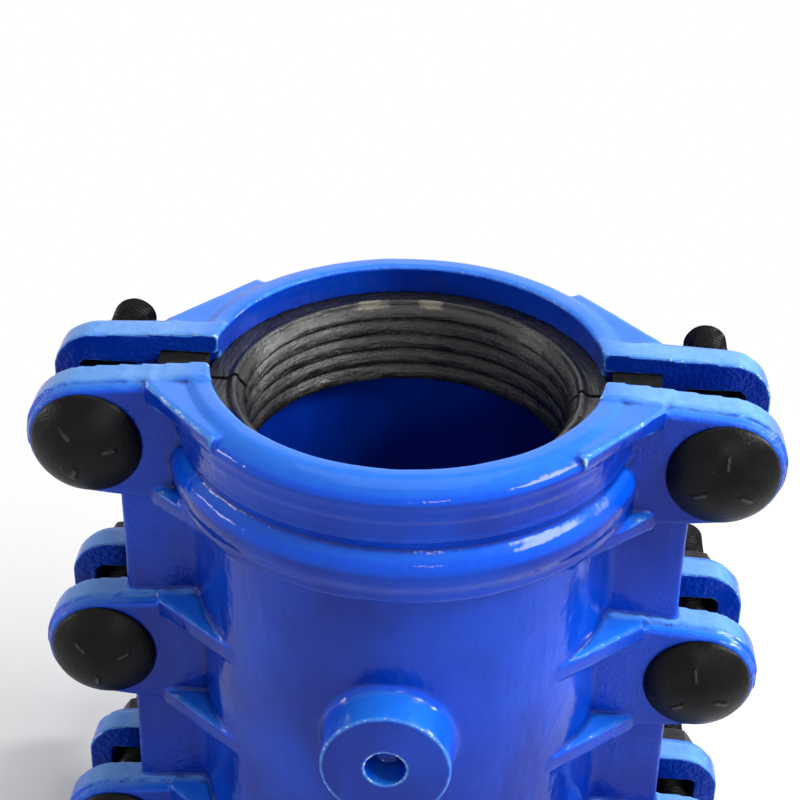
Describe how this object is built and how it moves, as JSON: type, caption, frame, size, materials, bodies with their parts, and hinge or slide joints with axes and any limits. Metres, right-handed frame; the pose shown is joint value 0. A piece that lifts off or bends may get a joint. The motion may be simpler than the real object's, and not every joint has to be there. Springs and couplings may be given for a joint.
{
  "type": "pipe repair clamp",
  "caption": "Split repair sleeve for a plastic pressure pipe: blue enamelled castings with rubber end gaskets and side seals, drawn together by cup-head bolts along both flanges.",
  "frame": {"origin": "on the pipe's axis, half way along the sleeve", "axes": "+Z along the pipe towards the end that stands up; X across both bolt rows; the half with the round boss lies towards -Y and the nuts towards +Y"},
  "size_m": [0.258, 0.1695, 0.23],
  "materials": {
    "enamel": "glossy blue enamel on a rough iron casting",
    "gasket_rubber": "smooth moulded rubber, satin, with a few dusty patches",
    "strip_rubber": "matt rubber with a dusty face",
    "black_bolt": "black oxide, satin and slightly oily",
    "black_nut": "black oxide, duller and greyer than the bolts"
  },
  "bodies": {
    "front_half": {"front_shell": "enamel", "front_gasket_upper": "gasket_rubber", "front_gasket_lower": "gasket_rubber", "front_seal_strip_left": "strip_rubber", "front_seal_strip_right": "strip_rubber", "bolt_left_upper": "black_bolt", "bolt_left_middle": "black_bolt", "bolt_left_lower": "black_bolt", "bolt_right_upper": "black_bolt", "bolt_right_middle": "black_bolt", "bolt_right_lower": "black_bolt"},
    "back_half": {"back_shell": "enamel", "back_gasket_upper": "gasket_rubber", "back_gasket_lower": "gasket_rubber", "back_seal_strip_left": "strip_rubber", "back_seal_strip_right": "strip_rubber", "washer_left_upper": "black_nut", "washer_left_middle": "black_nut", "washer_left_lower": "black_nut", "washer_right_upper": "black_nut", "washer_right_middle": "black_nut", "washer_right_lower": "black_nut"},
    "nut_left_upper": {"nut_left_upper": "black_nut"},
    "nut_left_middle": {"nut_left_middle": "black_nut"},
    "nut_left_lower": {"nut_left_lower": "black_nut"},
    "nut_right_upper": {"nut_right_upper": "black_nut"},
    "nut_right_middle": {"nut_right_middle": "black_nut"},
    "nut_right_lower": {"nut_right_lower": "black_nut"}
  },
  "joints": [
    {"name": "halves_apart", "type": "slide", "parent": "front_half", "child": "back_half", "axis": [0, 1, 0], "range_m": [-0.0017, 0.024]},
    {"name": "nut_left_upper_turn", "type": "hinge", "parent": "back_half", "child": "nut_left_upper", "pos_m": [-0.107, 0.0339, 0.0895], "axis": [0, 1, 0], "range_deg": [-310, 4330]},
    {"name": "nut_left_middle_turn", "type": "hinge", "parent": "back_half", "child": "nut_left_middle", "pos_m": [-0.107, 0.0339, 0], "axis": [0, 1, 0], "range_deg": [-310, 4330]},
    {"name": "nut_left_lower_turn", "type": "hinge", "parent": "back_half", "child": "nut_left_lower", "pos_m": [-0.107, 0.0339, -0.0895], "axis": [0, 1, 0], "range_deg": [-310, 4330]},
    {"name": "nut_right_upper_turn", "type": "hinge", "parent": "back_half", "child": "nut_right_upper", "pos_m": [0.107, 0.0339, 0.0895], "axis": [0, 1, 0], "range_deg": [-310, 4330]},
    {"name": "nut_right_middle_turn", "type": "hinge", "parent": "back_half", "child": "nut_right_middle", "pos_m": [0.107, 0.0339, 0], "axis": [0, 1, 0], "range_deg": [-310, 4330]},
    {"name": "nut_right_lower_turn", "type": "hinge", "parent": "back_half", "child": "nut_right_lower", "pos_m": [0.107, 0.0339, -0.0895], "axis": [0, 1, 0], "range_deg": [-310, 4330]}
  ],
  "couplings": [
    {"joint": "nut_left_upper_turn", "follows": "halves_apart", "rad_per_m": 3141.6},
    {"joint": "nut_left_middle_turn", "follows": "halves_apart", "rad_per_m": 3141.6},
    {"joint": "nut_left_lower_turn", "follows": "halves_apart", "rad_per_m": 3141.6},
    {"joint": "nut_right_upper_turn", "follows": "halves_apart", "rad_per_m": 3141.6},
    {"joint": "nut_right_middle_turn", "follows": "halves_apart", "rad_per_m": 3141.6},
    {"joint": "nut_right_lower_turn", "follows": "halves_apart", "rad_per_m": 3141.6}
  ]
}
